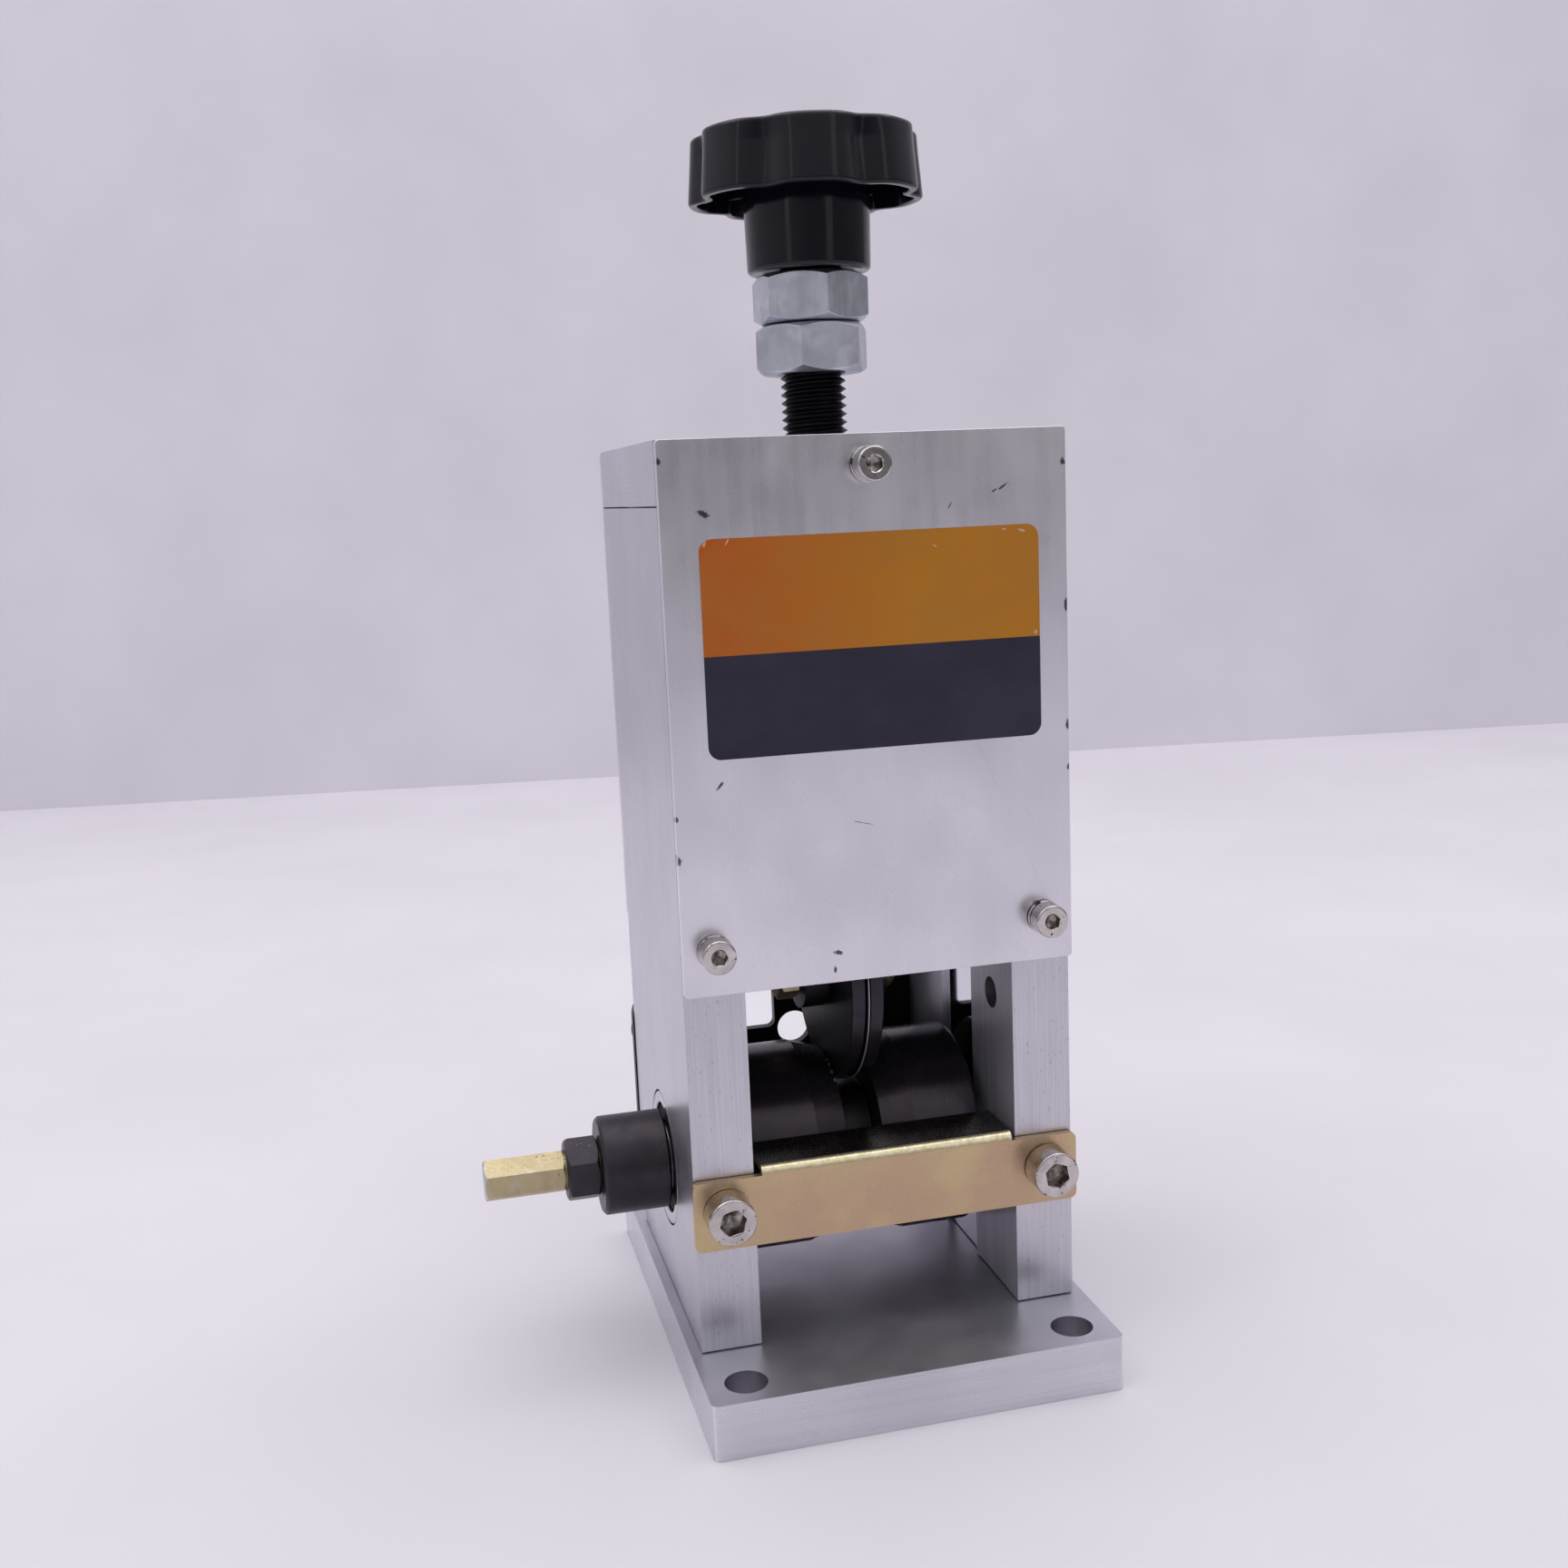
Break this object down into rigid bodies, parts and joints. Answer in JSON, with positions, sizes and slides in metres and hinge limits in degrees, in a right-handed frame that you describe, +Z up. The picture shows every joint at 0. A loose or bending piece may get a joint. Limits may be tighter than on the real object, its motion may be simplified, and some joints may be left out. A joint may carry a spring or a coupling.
{
  "type": "hand crank wire stripper",
  "caption": "Bench wire stripper with a grooved drive roller, a disc cutter on a sliding carriage, a star knob on a threaded rod and a hex drive adapter.",
  "frame": {"origin": "middle of the base plate's underside", "axes": "+Z up along the threaded rod, -Y towards the front where the cable leaves, +X away from the drive adapter"},
  "size_m": [0.1272, 0.1134, 0.2649],
  "materials": {
    "base_plate": "milled and brushed bare aluminium, fine straight grain",
    "left_side_plate": "milled and brushed bare aluminium, fine straight grain",
    "right_side_plate": "milled and brushed bare aluminium, fine straight grain",
    "top_block": "milled and brushed bare aluminium, fine straight grain",
    "base_screw_left_front": "nickel plate on steel, polished",
    "base_screw_left_rear": "nickel plate on steel, polished",
    "base_screw_right_front": "nickel plate on steel, polished",
    "base_screw_right_rear": "nickel plate on steel, polished",
    "top_screw_left_front": "nickel plate on steel, polished",
    "top_screw_left_rear": "nickel plate on steel, polished",
    "top_screw_right_front": "nickel plate on steel, polished",
    "top_screw_right_rear": "nickel plate on steel, polished",
    "front_cover": "milled and brushed bare aluminium, fine straight grain",
    "rear_cover": "milled and brushed bare aluminium, fine straight grain",
    "front_left_lock_washer": "nickel plate on steel, polished",
    "front_right_lock_washer": "nickel plate on steel, polished",
    "front_top_lock_washer": "nickel plate on steel, polished",
    "rear_left_lock_washer": "nickel plate on steel, polished",
    "rear_right_lock_washer": "nickel plate on steel, polished",
    "rear_top_lock_washer": "nickel plate on steel, polished",
    "front_left_cover_screw": "nickel plate on steel, polished",
    "front_right_cover_screw": "nickel plate on steel, polished",
    "front_top_cover_screw": "nickel plate on steel, polished",
    "rear_left_cover_screw": "nickel plate on steel, polished",
    "rear_right_cover_screw": "nickel plate on steel, polished",
    "rear_top_cover_screw": "nickel plate on steel, polished",
    "front_bracket": "yellow zinc plate on steel",
    "bracket_screw_left": "nickel plate on steel, polished",
    "bracket_screw_right": "nickel plate on steel, polished",
    "wire_guide_plate": "black oxide on turned steel, worn bright along the edges",
    "guide_screw_left": "black oxide on turned steel, worn bright along the edges",
    "guide_screw_right": "black oxide on turned steel, worn bright along the edges",
    "left_bearing_outer_ring": "ground bearing steel",
    "right_bearing_outer_ring": "ground bearing steel",
    "left_bearing_seal": "matt black seal",
    "right_bearing_seal": "matt black seal",
    "left_bearing_inner_ring": "ground bearing steel",
    "right_bearing_inner_ring": "ground bearing steel",
    "drive_roller": "black oxide on turned steel, worn bright along the edges",
    "roller_set_screw": "black oxide on turned steel, worn bright along the edges",
    "drive_shaft": "ground bearing steel",
    "left_roller_spacer": "ground bearing steel",
    "right_roller_spacer": "ground bearing steel",
    "coupling_sleeve": "black oxide on turned steel, worn bright along the edges",
    "adapter_lock_nut": "black oxide on turned steel, worn bright along the edges",
    "hex_adapter": "yellow zinc plate on steel",
    "cutter_carriage": "black oxide on turned steel, worn bright along the edges",
    "rod_retainer": "bright zinc plate on steel",
    "retainer_screw_left": "nickel plate on steel, polished",
    "retainer_screw_right": "nickel plate on steel, polished",
    "axle_bolt": "yellow zinc plate on steel",
    "axle_nut": "yellow zinc plate on steel",
    "cutter_blade": "hardened tool steel with a ground edge",
    "left_blade_flange": "black oxide on turned steel, worn bright along the edges",
    "right_blade_flange": "black oxide on turned steel, worn bright along the edges",
    "cutter_bush": "sintered bronze, oiled",
    "threaded_rod": "black oxide on turned steel, worn bright along the edges",
    "stop_nut": "bright zinc plate on steel",
    "knob_lock_nut": "bright zinc plate on steel",
    "star_knob": "glossy black moulded plastic"
  },
  "bodies": {
    "stand": {"base_plate": "base_plate", "left_side_plate": "left_side_plate", "right_side_plate": "right_side_plate", "top_block": "top_block", "base_screw_left_front": "base_screw_left_front", "base_screw_left_rear": "base_screw_left_rear", "base_screw_right_front": "base_screw_right_front", "base_screw_right_rear": "base_screw_right_rear", "top_screw_left_front": "top_screw_left_front", "top_screw_left_rear": "top_screw_left_rear", "top_screw_right_front": "top_screw_right_front", "top_screw_right_rear": "top_screw_right_rear", "front_cover": "front_cover", "rear_cover": "rear_cover", "front_left_lock_washer": "front_left_lock_washer", "front_right_lock_washer": "front_right_lock_washer", "front_top_lock_washer": "front_top_lock_washer", "rear_left_lock_washer": "rear_left_lock_washer", "rear_right_lock_washer": "rear_right_lock_washer", "rear_top_lock_washer": "rear_top_lock_washer", "front_left_cover_screw": "front_left_cover_screw", "front_right_cover_screw": "front_right_cover_screw", "front_top_cover_screw": "front_top_cover_screw", "rear_left_cover_screw": "rear_left_cover_screw", "rear_right_cover_screw": "rear_right_cover_screw", "rear_top_cover_screw": "rear_top_cover_screw", "front_bracket": "front_bracket", "bracket_screw_left": "bracket_screw_left", "bracket_screw_right": "bracket_screw_right", "wire_guide_plate": "wire_guide_plate", "guide_screw_left": "guide_screw_left", "guide_screw_right": "guide_screw_right", "left_bearing_outer_ring": "left_bearing_outer_ring", "right_bearing_outer_ring": "right_bearing_outer_ring", "left_bearing_seal": "left_bearing_seal", "right_bearing_seal": "right_bearing_seal"},
    "drive": {"left_bearing_inner_ring": "left_bearing_inner_ring", "right_bearing_inner_ring": "right_bearing_inner_ring", "drive_roller": "drive_roller", "roller_set_screw": "roller_set_screw", "drive_shaft": "drive_shaft", "left_roller_spacer": "left_roller_spacer", "right_roller_spacer": "right_roller_spacer", "coupling_sleeve": "coupling_sleeve", "adapter_lock_nut": "adapter_lock_nut", "hex_adapter": "hex_adapter"},
    "carriage": {"cutter_carriage": "cutter_carriage", "rod_retainer": "rod_retainer", "retainer_screw_left": "retainer_screw_left", "retainer_screw_right": "retainer_screw_right", "axle_bolt": "axle_bolt", "axle_nut": "axle_nut"},
    "cutter": {"cutter_blade": "cutter_blade", "left_blade_flange": "left_blade_flange", "right_blade_flange": "right_blade_flange", "cutter_bush": "cutter_bush"},
    "screw": {"threaded_rod": "threaded_rod", "stop_nut": "stop_nut", "knob_lock_nut": "knob_lock_nut", "star_knob": "star_knob"}
  },
  "joints": [
    {"name": "drive_turn", "type": "hinge", "parent": "stand", "child": "drive", "pos_m": [0, 0, 0.0422], "axis": [1, 0, 0], "continuous": true},
    {"name": "carriage_slide", "type": "slide", "parent": "stand", "child": "carriage", "axis": [0, 0, 1], "range_m": [-0.002, 0.045]},
    {"name": "cutter_turn", "type": "hinge", "parent": "carriage", "child": "cutter", "pos_m": [0, 0, 0.0835], "axis": [1, 0, 0], "continuous": true},
    {"name": "screw_turn", "type": "hinge", "parent": "carriage", "child": "screw", "pos_m": [0, 0, 0.1406], "axis": [0, 0, 1], "range_deg": [-412, 9258]}
  ],
  "couplings": [
    {"joint": "screw_turn", "follows": "carriage_slide", "rad_per_m": 3590.4}
  ]
}
